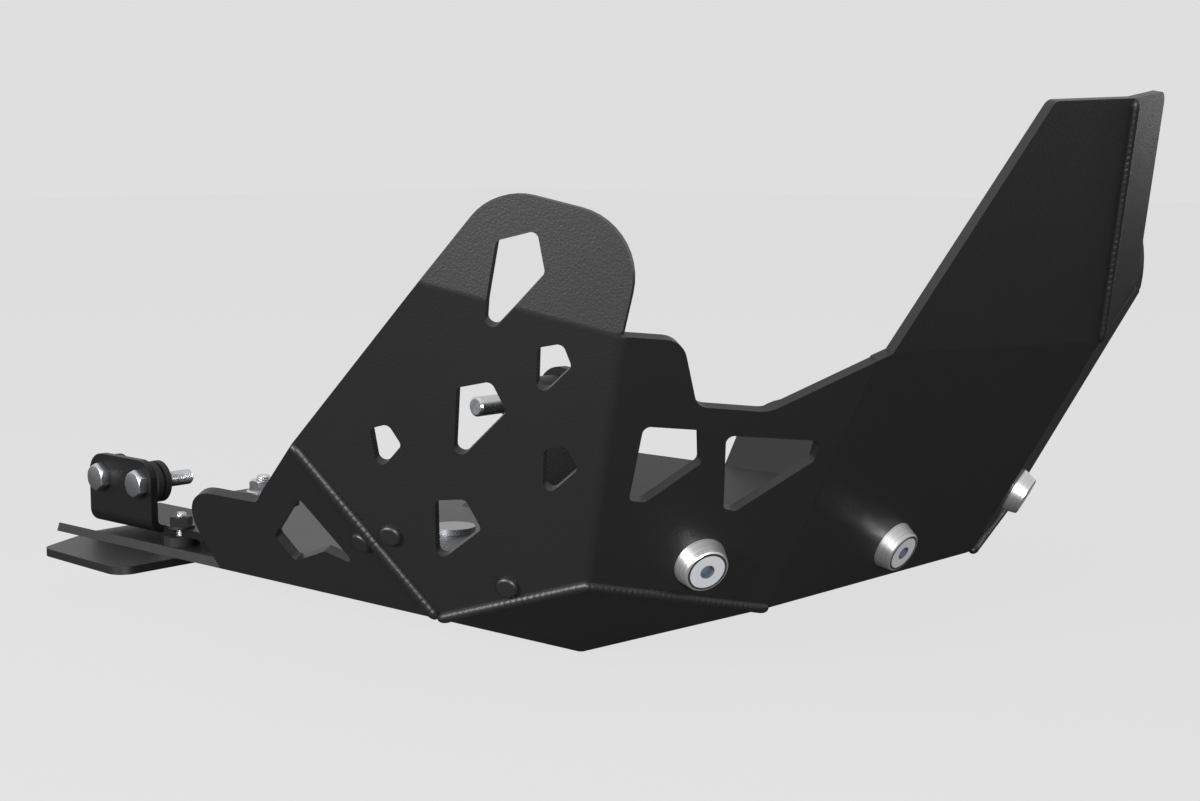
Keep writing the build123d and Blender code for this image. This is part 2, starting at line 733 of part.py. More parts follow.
def nodes():
    """Every named piece of the skid plate."""
    shell = skid_shell()
    wing_strip = tongue_wing()
    near_seam = [side_corner, near_wall.nose_side, ramp_corner]
    far_seam = [flipped(point) for point in (side_corner, far_wall.nose_side, ramp_corner)]
    near_rim_seam = seam_bead([rim_top, side_corner], shell)
    pieces = {
        "skid_shell": shell,
        "tongue_wing": wing_strip,
        "rim_weld_near": near_rim_seam,
        "rim_weld_far": mirror(near_rim_seam, about=Plane.XZ),
        "wing_weld": seam_bead([tongue_far, wing_root], wing_strip, *hull_slabs()),
    }
    pieces["nose_weld_near"] = seam_bead(near_seam, shell, pieces["rim_weld_near"])
    pieces["nose_weld_far"] = seam_bead(far_seam, shell, pieces["rim_weld_far"])
    for place, seat in puck_seats.items():
        pieces[f"puck_{place}"] = seat * puck()
        pieces[f"puck_screw_{place}"] = seat * puck_screw()
        pieces[f"puck_nut_{place}"] = seat * puck_nut()
    for place, seat in rivet_seats.items():
        pieces[f"rivet_{place}"] = seat * rivet()

    pieces["rear_bracket"] = rear_bracket()
    for name, x in zip(("rear", "front"), clamp_bolt_x):
        head = crosswise(x, bracket_outer_y, clamp_bolt_z)
        grip = bracket_sheet + bush_length
        bolt = hex_bolt(m8_hexagon, m8_head_height, m8_radius, clamp_bolt_length, grip)
        pieces[f"clamp_bolt_{name}"] = head * bolt
        face = crosswise(x, bracket_outer_y + bracket_sheet + bush_length, clamp_bolt_z)
        pieces[f"clamp_bush_{name}"] = face * clamp_bush()
    for name, (x, y) in zip(("rear", "front"), foot_studs):
        reach = foot_height - sheet + bracket_sheet + m6_nut_height + nut_spill
        pieces[f"foot_stud_{name}"] = upright(x, y, sheet) * weld_stud(reach)
        gap = foot_height - sheet
        pieces[f"foot_spacer_{name}"] = upright(x, y, sheet) * spacer(foot_spacer_radius, gap, m6_radius)
        seat = upright(x, y, foot_height + bracket_sheet)
        pieces[f"foot_nut_{name}"] = seat * nut(m6_hexagon, m6_nut_height, m6_radius, m6_flange_radius)

    under_tab = Plane(origin=(rim_bolt_x, rim_bolt_y, rim_tab_top - sheet), x_dir=(1, 0, 0), z_dir=(0, 0, -1))
    rim_reach = sheet + m6_nut_height + nut_spill
    pieces["rim_bolt"] = under_tab * hex_bolt(m6_hexagon, m6_head_height, m6_radius, rim_reach, sheet)
    on_tab = upright(rim_bolt_x, rim_bolt_y, rim_tab_top)
    pieces["rim_nut"] = on_tab * nut(m6_hexagon, m6_nut_height, m6_radius, m6_flange_radius)

    pieces["clamp_arm"] = clamp_arm()
    arm_back = Plane(origin=(arm_x, arm_outer_y + arm_sheet, boss_z), x_dir=(1, 0, 0), z_dir=(0, 1, 0))
    arm_grip = arm_sheet + boss_length
    pieces["arm_bolt"] = arm_back * hex_bolt(m8_hexagon, m8_head_height, m8_radius, arm_bolt_length, arm_grip)
    for name, (x, y) in zip(("rear", "front"), arm_studs):
        reach = arm_sheet + m6_nut_height + nut_spill
        pieces[f"arm_stud_{name}"] = upright(x, y, sheet) * weld_stud(reach)
        pieces[f"arm_nut_{name}"] = upright(x, y, sheet + arm_sheet) * nut(m6_hexagon, m6_nut_height, m6_radius)
    pieces["drain_plug"] = drain_disc()
    return pieces


if __name__ == "__main__":
    os.makedirs("parts", exist_ok=True)
    for name, piece in nodes().items():
        export_step(piece, f"parts/{name}.step")
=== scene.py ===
import json
import logging
from dataclasses import dataclass
from enum import Enum
from math import cos, radians, sin, sqrt, tau

import bpy
from mathutils import Matrix, Vector


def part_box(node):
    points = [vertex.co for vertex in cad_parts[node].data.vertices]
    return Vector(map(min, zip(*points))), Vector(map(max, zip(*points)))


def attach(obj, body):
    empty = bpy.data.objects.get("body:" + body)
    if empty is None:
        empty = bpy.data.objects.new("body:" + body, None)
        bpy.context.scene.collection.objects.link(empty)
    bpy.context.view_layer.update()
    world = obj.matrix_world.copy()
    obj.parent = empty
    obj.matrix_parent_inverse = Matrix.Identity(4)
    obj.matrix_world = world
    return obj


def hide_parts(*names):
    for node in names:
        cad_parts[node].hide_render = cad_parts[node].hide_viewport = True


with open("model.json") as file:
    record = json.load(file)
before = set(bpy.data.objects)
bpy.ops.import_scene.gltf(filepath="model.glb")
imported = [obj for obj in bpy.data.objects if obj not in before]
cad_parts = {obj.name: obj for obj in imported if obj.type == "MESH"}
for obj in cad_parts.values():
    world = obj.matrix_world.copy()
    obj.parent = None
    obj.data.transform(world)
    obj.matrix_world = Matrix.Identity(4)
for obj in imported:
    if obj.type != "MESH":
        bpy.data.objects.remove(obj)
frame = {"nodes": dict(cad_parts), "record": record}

# Motorcycle skid plate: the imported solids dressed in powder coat, bare aluminium and zinc, with rippled welds
# and cut threads built around them. Lengths are in metres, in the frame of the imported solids.

log = logging.getLogger("skid_plate")
MM = 0.001
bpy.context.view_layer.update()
BODY = "root"

# Corners of the sheet that the welds follow, in millimetres; the far side mirrors all but the nose
RIM_TOP = (145.34, -215.70, 97.32)
SIDE_CORNER = (178.0, -172.8, 28.4)
NOSE_NEAR = (237.79, -153.84, 47.03)
NOSE_FAR = (239.86, 153.19, 47.67)
RAMP_CORNER = (260.4, -74.0, 28.4)
TONGUE_FAR = (306.65, 99.0, 123.22)
WING_ROOT = (328.95, 81.14, 226.9)

# Where the pucks sit on the sheet's outer face in millimetres, and which way they look
PUCK_SEATS = {
    "near": ((256.95, -111.67, 52.12), (0.848, -0.336, -0.410)),
    "centre": ((267.85, 0.0, 43.68), (0.899, 0.0, -0.438)),
    "far": ((258.44, 112.36, 51.17), (0.812, 0.328, -0.483)),
}

# Radii round a puck's axis: the gap between its screw and its rim, and the screw's socket, where painted shade
# darkens the metal
GAP_INNER = 7.2 * MM
GAP_OUTER = 8.1 * MM
PAST_SCREW = 20 * MM
SOCKET_RADIUS = 2.95 * MM

# Plain shank under the head or the seat
CLAMP_GRIP = 12 * MM
STUD_GRIP = 2 * MM
RIM_GRIP = 4 * MM

# Octaves of a fine and of a broad noise
FINE = 2.0
BROAD = 3.0

# Sockets of a Mix node that mixes colours
MIX_SHARE = 0
MIX_FIRST = 6
MIX_SECOND = 7
MIX_RESULT = 2

BLACK = (0.0, 0.0, 0.0)


class Slot(Enum):
    """The record's material slots, but for the pucks' own."""

    POWDER_COAT = "powder_coat"
    BRACKET_COAT = "bracket_coat"
    ZINC_STEEL = "zinc_steel"
    BLACK_HARDWARE = "black_hardware"
    BUSH_RUBBER = "bush_rubber"
    DRAIN_STEEL = "drain_steel"


class Shade:
    """A socket of a material's node tree, with arithmetic that adds Math nodes."""

    def __init__(self, tree: bpy.types.NodeTree, socket: bpy.types.NodeSocket) -> None:
        """Hold the tree and the socket."""
        self.tree = tree
        self.socket = socket

    def _math(self, operation: str, first: object, second: object) -> "Shade":
        """One Math node on two values.

        Args:
            operation: The Math node's operation.
            first: A number or a Shade.
            second: A number or a Shade.

        Returns:
            The node's result.
        """
        return Painter(self.tree).node("ShaderNodeMath", {"operation": operation}, {0: first, 1: second})

    def __add__(self, other: object) -> "Shade":
        """Sum."""
        return self._math("ADD", self, other)

    def __radd__(self, other: object) -> "Shade":
        """Sum, reflected."""
        return self._math("ADD", other, self)

    def __sub__(self, other: object) -> "Shade":
        """Difference."""
        return self._math("SUBTRACT", self, other)

    def __rsub__(self, other: object) -> "Shade":
        """Difference, reflected."""
        return self._math("SUBTRACT", other, self)

    def __mul__(self, other: object) -> "Shade":
        """Product."""
        return self._math("MULTIPLY", self, other)

    def __rmul__(self, other: object) -> "Shade":
        """Product, reflected."""
        return self._math("MULTIPLY", other, self)

    def __gt__(self, other: object) -> "Shade":
        """1 where this is greater, else 0."""
        return self._math("GREATER_THAN", self, other)


class Painter:
    """Adds nodes to one material's tree."""

    def __init__(self, tree: bpy.types.NodeTree) -> None:
        """Hold the tree."""
        self.tree = tree

    def node(self, kind: str, settings: dict, inputs: dict, output: object = 0) -> Shade:
        """Add a node, set it and feed it.

        Args:
            kind: The node's type.
            settings: Its properties, set before its sockets.
            inputs: Values or Shades by the socket's index or name.
            output: Index or name of the socket that is returned.

        Returns:
            The chosen output.
        """
        made = self.tree.nodes.new(kind)
        for name, value in settings.items():
            setattr(made, name, value)
        for name, value in inputs.items():
            if isinstance(value, Shade):
                self.tree.links.new(value.socket, made.inputs[name])
            else:
                made.inputs[name].default_value = value
        return Shade(self.tree, made.outputs[output])

    def place(self) -> Shade:
        """Object coordinates, which are the frame's own."""
        return self.node("ShaderNodeTexCoord", {}, {}, "Object")

    def vector(self, operation: str, inputs: tuple, output: str = "Vector") -> Shade:
        """One Vector Math node.

        Args:
            operation: The node's operation.
            inputs: Its vectors or Shades, in the sockets' order.
            output: "Vector", or "Value" where the result is a number.

        Returns:
            The node's result.
        """
        return self.node("ShaderNodeVectorMath", {"operation": operation}, dict(enumerate(inputs)), output)

    def noise(self, scale: float, detail: float, place: Shade) -> Shade:
        """Noise value at a place.

        Args:
            scale: Cells per metre.
            detail: Octaves.
            place: The coordinates that it reads.

        Returns:
            A value about 0.5.
        """
        return self.node("ShaderNodeTexNoise", {}, {"Vector": place, "Scale": scale, "Detail": detail}, "Fac")

    def vary(self, middle: float, spread: float, noise: Shade) -> Shade:
        """Spread a value round its middle by noise.

        Args:
            middle: The value where the noise is 0.5.
            spread: How far it changes as the noise goes from 0 to 1.
            noise: The noise.

        Returns:
            The varied value.
        """
        return middle - spread / 2 + noise * spread

    def bump(self, height: Shade, strength: float, distance: float) -> Shade:
        """Normal that a height gives.

        Args:
            height: The height, 0 to 1.
            strength: How much of it is shown.
            distance: Depth that it stands for.

        Returns:
            The normal.
        """
        sockets = {"Strength": strength, "Distance": distance, "Height": height}
        return self.node("ShaderNodeBump", {}, sockets, "Normal")

    def sight(self, shine: float) -> Shade:
        """How much of its pale level a ray sees.

        Args:
            shine: The share that a reflection sees.

        Returns:
            1 for the camera and through glass, the share off metal, 0 for light that falls on the part.
        """
        seen = self.node("ShaderNodeLightPath", {}, {}, "Is Camera Ray")
        glossy = self.node("ShaderNodeLightPath", {}, {}, "Is Glossy Ray")
        through = self.node("ShaderNodeLightPath", {}, {}, "Is Transmission Ray")
        return seen + through + glossy * shine

    def blend(self, share: Shade, first: object, second: object) -> Shade:
        """Colour between two colours.

        Args:
            share: 0 for the first, 1 for the second.
            first: Linear colour or a Shade.
            second: Linear colour or a Shade.

        Returns:
            The mixed colour.
        """
        ends = [colour if isinstance(colour, Shade) else (*colour, 1.0) for colour in (first, second)]
        sockets = {MIX_SHARE: share, MIX_FIRST: ends[0], MIX_SECOND: ends[1]}
        return self.node("ShaderNodeMix", {"data_type": "RGBA"}, sockets, MIX_RESULT)


def at(point: tuple) -> tuple:
    """Turn millimetres to metres.

    Args:
        point: A point in millimetres.

    Returns:
        The same point in metres.
    """
    return tuple(value * MM for value in point)


def across(point: tuple) -> tuple:
    """Mirror a point.

    Args:
        point: A point on one side of the plate.

    Returns:
        The same point on the other side.
    """
    return (point[0], -point[1], point[2])


def quarter_round(share: float) -> float:
    """Height of a quarter circle.

    Args:
        share: How far along it, 0 to 1.

    Returns:
        From 0, rising steeply at first, to 1.
    """
    return sqrt(max(0.0, share * (2 - share)))


def surface(name: str) -> tuple[bpy.types.Material, bpy.types.ShaderNode, Painter]:
    """A new material.

    Args:
        name: Its name.

    Returns:
        The material, its Principled node and a painter for its tree.
    """
    material = bpy.data.materials.new(name)
    material.use_nodes = True
    return material, material.node_tree.nodes["Principled BSDF"], Painter(material.node_tree)


def feed(shader: bpy.types.ShaderNode, sockets: dict) -> None:
    """Set or link a shader's sockets by name.

    Args:
        shader: The shader node.
        sockets: Numbers, colours or Shades by socket name.
    """
    for name, value in sockets.items():
        if isinstance(value, Shade):
            value.tree.links.new(value.socket, shader.inputs[name])
        elif isinstance(value, tuple):
            shader.inputs[name].default_value = (*value, 1.0)
        else:
            shader.inputs[name].default_value = value


@dataclass(frozen=True)
class PowderCoat:
    """Satin black powder coat with its fine pebbled grain."""

    name: str = "satin_powder_coat"
    colour: tuple = (0.0095, 0.0096, 0.0097)
    roughness: float = 0.42
    roughness_spread: float = 0.08
    grain_per_metre: float = 1150.0
    grains_per_patch: float = 90.0
    grain_depth: float = 0.16 * MM
    grain_strength: float = 0.6
    gloss: float = 0.42

    def build(self) -> bpy.types.Material:
        """Make the material."""
        material, shader, paint = surface(self.name)
        place = paint.place()
        grain = paint.noise(self.grain_per_metre, FINE, place)
        patches = paint.noise(self.grain_per_metre / self.grains_per_patch, BROAD, place)
        feed(shader, {
            "Base Color": self.colour,
            "Roughness": paint.vary(self.roughness, self.roughness_spread, patches),
            "Specular IOR Level": self.gloss,
            "Normal": paint.bump(grain, self.grain_strength, self.grain_depth),
        })
        return material


@dataclass(frozen=True)
class TurnedAluminium:
    """Bare turned metal with fine rings round an axis, with painted shade in the gap between two radii and in a
    socket.
    """

    name: str
    centre: tuple
    axis: tuple
    gap_inner: float
    gap_outer: float
    colour: tuple = (0.90, 0.90, 0.90)
    # painted shade: the gap ring between screw and rim is coloured near black instead of metal
    gap_shade_colour: tuple = (0.03, 0.03, 0.03)
    roughness: float = 0.24
    bareness: float = 0.85
    ring_colour: tuple = (0.52, 0.52, 0.53)
    ring_scale: float = 5200.0
    ring_floor: float = 0.3
    ring_contrast: float = 2.2
    ring_roughness: float = 0.2
    ring_strength: float = 0.8
    ring_depth: float = 0.05 * MM
    socket_radius: float = 0.0
    # painted shade: the hex socket is coloured a dark bluish grey
    socket_shade_colour: tuple = (0.16, 0.19, 0.23)

    def build(self) -> bpy.types.Material:
        """Make the material."""
        material, shader, paint = surface(self.name)
        arm = paint.vector("SUBTRACT", (paint.place(), self.centre))
        rise = paint.vector("DOT_PRODUCT", (arm, self.axis), "Value")
        sideways = paint.vector("CROSS_PRODUCT", (arm, self.axis))
        reach = paint.vector("LENGTH", (sideways,), "Value")
        ring_place = paint.node("ShaderNodeCombineXYZ", {}, {0: reach, 1: rise, 2: 0.0}, "Vector")
        rings = paint.noise(self.ring_scale, FINE, ring_place)
        # painted shade mask: 1 in the ring between the two radii, where the gap's shade is painted
        gap_shade = (reach > self.gap_inner) * (1 - (reach > self.gap_outer))
        # painted shade mask for the hex socket, inside its radius
        socket = 1 - (reach > self.socket_radius)
        brushed = paint.blend((rings - self.ring_floor) * self.ring_contrast, self.ring_colour, self.colour)
        with_socket_shade = paint.blend(socket, brushed, self.socket_shade_colour)
        feed(shader, {
            "Base Color": paint.blend(gap_shade, with_socket_shade, self.gap_shade_colour),
            "Metallic": self.bareness * (1 - gap_shade),
            "Roughness": self.roughness + rings * self.ring_roughness,
            "Normal": paint.bump(rings, self.ring_strength, self.ring_depth),
        })
        return material


@dataclass(frozen=True)
class PlatedSteel:
    """Zinc plated or dull steel, faintly mottled."""

    name: str
    colour: tuple = (0.62, 0.63, 0.645)
    roughness: float = 0.3
    roughness_spread: float = 0.12
    mottle_per_metre: float = 700.0
    mottle_strength: float = 0.25
    mottle_depth: float = 0.04 * MM

    def build(self) -> bpy.types.Material:
        """Make the material."""
        material, shader, paint = surface(self.name)
        mottle = paint.noise(self.mottle_per_metre, BROAD, paint.place())
        feed(shader, {
            "Base Color": self.colour,
            "Metallic": 1.0,
            "Roughness": paint.vary(self.roughness, self.roughness_spread, mottle),
            "Normal": paint.bump(mottle, self.mottle_strength, self.mottle_depth),
        })
        return material


@dataclass(frozen=True)
class DarkHardware:
    """Black oxide steel or moulded rubber: a dark dielectric with a soft sheen."""

    name: str
    colour: tuple
    roughness: float
    gloss: float
    roughness_spread: float = 0.1
    mottle_per_metre: float = 900.0
    mottle_strength: float = 0.2
    mottle_depth: float = 0.04 * MM

    def build(self) -> bpy.types.Material:
        """Make the material."""
        material, shader, paint = surface(self.name)
        mottle = paint.noise(self.mottle_per_metre, FINE, paint.place())
        feed(shader, {
            "Base Color": self.colour,
            "Roughness": paint.vary(self.roughness, self.roughness_spread, mottle),
            "Specular IOR Level": self.gloss,
            "Normal": paint.bump(mottle, self.mottle_strength, self.mottle_depth),
        })
        return material


@dataclass(frozen=True)
class StudioPaper:
    """Plain pale paper: a flat grey to the camera, a matt surface to the light."""

    name: str = "studio_paper"
    seen: float = 0.736
    glow: float = 0.715
    shine: float = 0.05
    lit: tuple = (0.05, 0.05, 0.05)
    roughness: float = 0.9

    def build(self) -> bpy.types.Material:
        """Make the material: its own pale level where it is seen, and the part's shadow on it."""
        material, shader, paint = surface(self.name)
        feed(shader, {
            "Base Color": self.lit,
            "Roughness": self.roughness,
            "Specular IOR Level": 0.0,
            "Emission Strength": 1.0,
            "Emission Color": paint.blend(paint.sight(self.shine), BLACK, (self.glow,) * 3),
        })
        return material


def deselect() -> None:
    """Leave nothing selected or active, so that the next operator takes only its own piece."""
    bpy.ops.object.select_all(action="DESELECT")
    bpy.context.view_layer.objects.active = None


def pick(*pieces: bpy.types.Object) -> None:
    """Select pieces alone.

    Args:
        pieces: The pieces. The last one becomes the active one.
    """
    deselect()
    for piece in pieces:
        piece.select_set(True)
    bpy.context.view_layer.objects.active = pieces[-1]


def settle(piece: bpy.types.Object, name: str, finish: bpy.types.Material) -> bpy.types.Object:
    """Finish a new piece: its place goes into its mesh, and it rides on the body.

    Args:
        piece: The object.
        name: The name that it gets.
        finish: Its material.

    Returns:
        The same object.
    """
    pick(piece)
    bpy.ops.object.transform_apply(location=True, rotation=True, scale=True)
    piece.name = name
    piece.data.name = name
    piece.data.materials.clear()
    piece.data.materials.append(finish)
    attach(piece, BODY)
    log.info("%s: %d faces", name, len(piece.data.polygons))
    return piece


def tube_of_grid(steps_along: int, steps_round: int) -> bpy.types.Object:
    """A flat grid that is later wrapped into a tube.

    Args:
        steps_along: Faces along it.
        steps_round: Faces round it.

    Returns:
        The grid, one metre square about the origin.
    """
    deselect()
    bpy.ops.mesh.primitive_grid_add(x_subdivisions=steps_along, y_subdivisions=steps_round, size=1.0)
    return bpy.context.object


def place_on_grid(vertex: bpy.types.MeshVertex) -> tuple[float, float]:
    """Read a vertex of the flat grid.

    Args:
        vertex: The vertex.

    Returns:
        Its share of the tube's length, 0 to 1, and its angle round the tube.
    """
    return vertex.co.x + 0.5, (vertex.co.y + 0.5) * tau


def close_tube(piece: bpy.types.Object, merge: float) -> None:
    """Merge the seam and tips of a wrapped grid and turn its faces outwards.

    Args:
        piece: The wrapped grid.
        merge: Distance under which points are one.
    """
    pick(piece)
    bpy.ops.object.mode_set(mode="EDIT")
    bpy.ops.mesh.select_all(action="SELECT")
    bpy.ops.mesh.remove_doubles(threshold=merge)
    bpy.ops.mesh.normals_make_consistent(inside=False)
    bpy.ops.object.mode_set(mode="OBJECT")


@dataclass
class BrokenLine:
    """One or two straight spans, with a direction that turns gradually beside the corner."""

    stops: list
    ease_length: float

    def __post_init__(self) -> None:
        """Measure the spans."""
        self.spans = [(b - a).length for a, b in zip(self.stops, self.stops[1:])]
        self.total = sum(self.spans)

    def follow(self, way: float) -> tuple[Vector, Vector]:
        """Go along the line.

        Args:
            way: Distance from its start.

        Returns:
            The point there, and the direction.
        """
        index = 0
        run = way
        while index < len(self.spans) - 1 and run > self.spans[index]:
            run -= self.spans[index]
            index += 1
        along = (self.stops[index + 1] - self.stops[index]).normalized()
        middle = self.stops[index] + along * run
        if len(self.spans) == 1:
            return middle, along
        if index > 0:
            neighbour = self.stops[index] - self.stops[index - 1]
            from_corner = run
        else:
            neighbour = self.stops[2] - self.stops[1]
            from_corner = self.spans[0] - run
        ease = min(1.0, from_corner / self.ease_length)
        return middle, neighbour.normalized().lerp(along, 0.5 + 0.5 * ease).normalized()


@dataclass
class WeldBead:
    """A laid weld: a bead of overlapping ripples along a broken line.

    The bow is a share of the ripple's length. The ripple's depth and the wanders are shares of the radius.
    """

    name: str
    points: list
    radius: float = 2.35 * MM
    ripple: float = 2.6 * MM
    ripple_depth: float = 0.06
    ripple_bow: float = 0.35
    long_wander: float = 0.03
    long_wander_length: float = 7.3 * MM
    short_wander: float = 0.02
    short_wander_length: float = 2.9 * MM
    short_wander_phase: float = 1.3
    corner_radii: float = 2.0
    end_radii: float = 1.6
    merge: float = 0.01 * MM
    steps_round: int = 16
    steps_per_ripple: int = 6

    def build(self, finish: bpy.types.Material) -> bpy.types.Object:
        """Lay the bead in place of its plain solid.

        Args:
            finish: The coat that covers it.

        Returns:
            The bead.
        """
        line = BrokenLine([Vector(point) for point in self.points], self.corner_radii * self.radius)
        steps = int(line.total / self.ripple * self.steps_per_ripple)
        piece = tube_of_grid(steps, self.steps_round)
        for vertex in piece.data.vertices:
            share, turn = place_on_grid(vertex)
            vertex.co = self._point(line, share, turn)
        close_tube(piece, self.merge)
        bpy.ops.object.shade_smooth()
        settle(piece, f"{self.name}_laid", finish)
        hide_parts(self.name)
        return piece

    def _point(self, line: BrokenLine, share: float, turn: float) -> Vector:
        """Place on the rippled skin.

        Args:
            line: The line that the bead follows.
            share: From 0 at the start to 1 at the end.
            turn: Angle round the line.

        Returns:
            The point.
        """
        way = share * line.total
        middle, along = line.follow(way)
        side = along.cross(Vector((0.0, 0.0, 1.0))).normalized()
        lift = side.cross(along)
        radius = self._radius_at(way, line.total, turn)
        return middle + side * (radius * cos(turn)) + lift * (radius * sin(turn))

    def _radius_at(self, way: float, total: float, turn: float) -> float:
        """Radius of the rippled skin, less towards both ends.

        Args:
            way: Distance from the start.
            total: Length of the bead.
            turn: Angle round the line.

        Returns:
            The radius.
        """
        bow = self.ripple_bow * self.ripple * cos(turn)
        phase = ((way + bow) / self.ripple) % 1.0
        swell = 1.0 - self.ripple_depth + 2 * self.ripple_depth * quarter_round(phase)
        long_wave = self.long_wander * sin(way / self.long_wander_length)
        short_wave = self.short_wander * sin(way / self.short_wander_length + self.short_wander_phase)
        end = min(1.0, min(way, total - way) / (self.end_radii * self.radius))
        share = min(1.0, swell + (long_wave + short_wave) - self.long_wander)
        return self.radius * share * quarter_round(end)


@dataclass(frozen=True)
class ScrewSize:
    """A metric screw: its thread and its hexagon head."""

    radius: float
    pitch: float
    across_flats: float
    head_height: float


M8 = ScrewSize(4.0 * MM, 1.25 * MM, 13 * MM, 5.3 * MM)
M6 = ScrewSize(3.0 * MM, 1.0 * MM, 10 * MM, 4.0 * MM)


@dataclass
class Threaded:
    """A bolt or stud with a cut thread, along an axis from its seat.

    The thread's depth is a share of its pitch. Flank gain and crest shape the groove within one turn.
    """

    name: str
    seat: tuple
    axis: tuple
    size: ScrewSize
    grip: float
    length: float
    headed: bool = True
    steps_round: int = 28
    steps_per_turn: int = 8
    tip_chamfer: float = 0.8 * MM
    cap_chamfers: int = 4
    at_seat: float = 1e-6
    merge: float = 0.002 * MM
    thread_depth: float = 0.54
    flank_gain: float = 1.25
    crest: float = 0.12
    smooth_angle: float = 34.0
    head_chamfer: float = 0.6 * MM
    head_sink: float = 0.3 * MM
    cone_steps: int = 64
    edge_width: float = 0.18 * MM
    edge_angle: float = 28.0

    def build(self, finish: bpy.types.Material) -> bpy.types.Object:
        """Turn the bolt in place of its plain solid.

        Args:
            finish: Its plating.

        Returns:
            The bolt.
        """
        shank = self._shank()
        if self.headed:
            pick(self._head(), shank)
            bpy.ops.object.join()
        shank.matrix_world = self._seat_matrix() @ shank.matrix_world
        settle(shank, f"{self.name}_threaded", finish)
        bpy.ops.object.shade_smooth_by_angle(angle=radians(self.smooth_angle))
        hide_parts(self.name)
        return shank

    def _seat_matrix(self) -> Matrix:
        """Turn local -z, the way the shank goes, to the axis, and move to the seat."""
        turn = Vector((0.0, 0.0, -1.0)).rotation_difference(Vector(self.axis))
        return Matrix.Translation(Vector(self.seat)) @ turn.to_matrix().to_4x4()

    def _shank(self) -> bpy.types.Object:
        """The shank: plain grip, thread and chamfered tip, hanging down from the seat."""
        gridded = self.length + self.cap_chamfers * self.tip_chamfer
        piece = tube_of_grid(int(gridded / self.size.pitch * self.steps_per_turn), self.steps_round)
        for vertex in piece.data.vertices:
            share, turn = place_on_grid(vertex)
            vertex.co = self._point(share, turn)
        close_tube(piece, self.merge)
        return piece

    def _point(self, share: float, turn: float) -> tuple:
        """Place on the shank's skin, which closes on the axis at both ends.

        Args:
            share: From 0 at the seat to 1 at the middle of the tip.
            turn: Angle round the axis.

        Returns:
            The point.
        """
        way = share * (self.length + self.size.radius)
        drop = min(self.length, way)
        past = max(0.0, way - self.length)
        from_tip = self.length - drop
        radius = self._radius_at(drop, turn)
        if from_tip < self.tip_chamfer:
            radius = min(radius, self.size.radius - (self.tip_chamfer - from_tip))
        if past:
            radius = max(0.0, radius * (1.0 - past / self.size.radius))
        if share < self.at_seat:
            radius = 0.0
        return (radius * cos(turn), radius * sin(turn), -drop)

    def _radius_at(self, drop: float, turn: float) -> float:
        """Radius of the shank's skin before its tip.

        Args:
            drop: Distance from the seat.
            turn: Angle round the axis.

        Returns:
            The radius, less in the thread's grooves.
        """
        if drop < self.grip:
            return self.size.radius
        phase = (drop / self.size.pitch - turn / tau) % 1.0
        depth = self.thread_depth * self.size.pitch
        groove = 1.0 - abs(2.0 * phase - 1.0)
        return self.size.radius - depth * min(1.0, max(0.0, groove * self.flank_gain - self.crest))

    def _head(self) -> bpy.types.Object:
        """Hexagon head whose corners are turned off, with softened edges."""
        flats = self.size.across_flats
        height = self.size.head_height
        deselect()
        bpy.ops.mesh.primitive_cylinder_add(
            vertices=6, radius=flats / sqrt(3.0), depth=height, location=(0.0, 0.0, height / 2))
        head = bpy.context.object
        bpy.ops.object.transform_apply(location=True, rotation=True, scale=True)
        cone_height = height + self.head_chamfer
        deselect()
        bpy.ops.mesh.primitive_cone_add(
            vertices=self.cone_steps, radius1=flats / 2 + height, radius2=flats / 2 - self.head_chamfer,
            depth=cone_height, location=(0.0, 0.0, cone_height / 2 - self.head_sink))
        cone = bpy.context.object
        bpy.ops.object.transform_apply(location=True, rotation=True, scale=True)
        pick(head)
        cut = head.modifiers.new("turned_corners", "BOOLEAN")
        cut.operation = "INTERSECT"
        cut.object = cone
        cut.solver = "EXACT"
        bpy.ops.object.modifier_apply(modifier=cut.name)
        bpy.data.objects.remove(cone)
        soft = head.modifiers.new("soft_edges", "BEVEL")
        soft.width = self.edge_width
        soft.segments = 2
        soft.limit_method = "ANGLE"
        soft.angle_limit = radians(self.edge_angle)
        bpy.ops.object.modifier_apply(modifier=soft.name)
        return head


def threaded_fasteners() -> list[Threaded]:
    """List every bolt and stud whose thread shows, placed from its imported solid's box.

    Returns:
        The fasteners, not yet built.
    """
    left = (0.0, 1.0, 0.0)
    up = (0.0, 0.0, 1.0)
    made = []
    for place in ("rear", "front"):
        low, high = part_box(f"clamp_bolt_{place}")
        seat = ((low.x + high.x) / 2, low.y + M8.head_height, (low.z + high.z) / 2)
        made.append(Threaded(f"clamp_bolt_{place}", seat, left, M8, CLAMP_GRIP, high.y - seat[1]))
        for owner in ("foot_stud", "arm_stud"):
            low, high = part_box(f"{owner}_{place}")
            seat = ((low.x + high.x) / 2, (low.y + high.y) / 2, low.z)
            made.append(Threaded(f"{owner}_{place}", seat, up, M6, STUD_GRIP, high.z - low.z, headed=False))
    low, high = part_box("rim_bolt")
    seat = ((low.x + high.x) / 2, (low.y + high.y) / 2, low.z + M6.head_height)
    made.append(Threaded("rim_bolt", seat, up, M6, RIM_GRIP, high.z - seat[2]))
    return made


def dress(node: str, finish: bpy.types.Material) -> None:
    """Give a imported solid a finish.

    Args:
        node: Its name.
        finish: The material.
    """
    solid = frame["nodes"][node]
    solid.data.materials.clear()
    solid.data.materials.append(finish)


@dataclass
class DressedNodes:
    """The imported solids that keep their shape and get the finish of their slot."""

    finishes: dict

    def build(self) -> None:
        """Give every solid the finish of its slot, where the slot has one here."""
        by_name = {slot.value: finish for slot, finish in self.finishes.items()}
        for part in frame["record"]["subparts"]:
            finish = by_name.get(part["material_slot"])
            if finish is not None:
                dress(part["node"], finish)


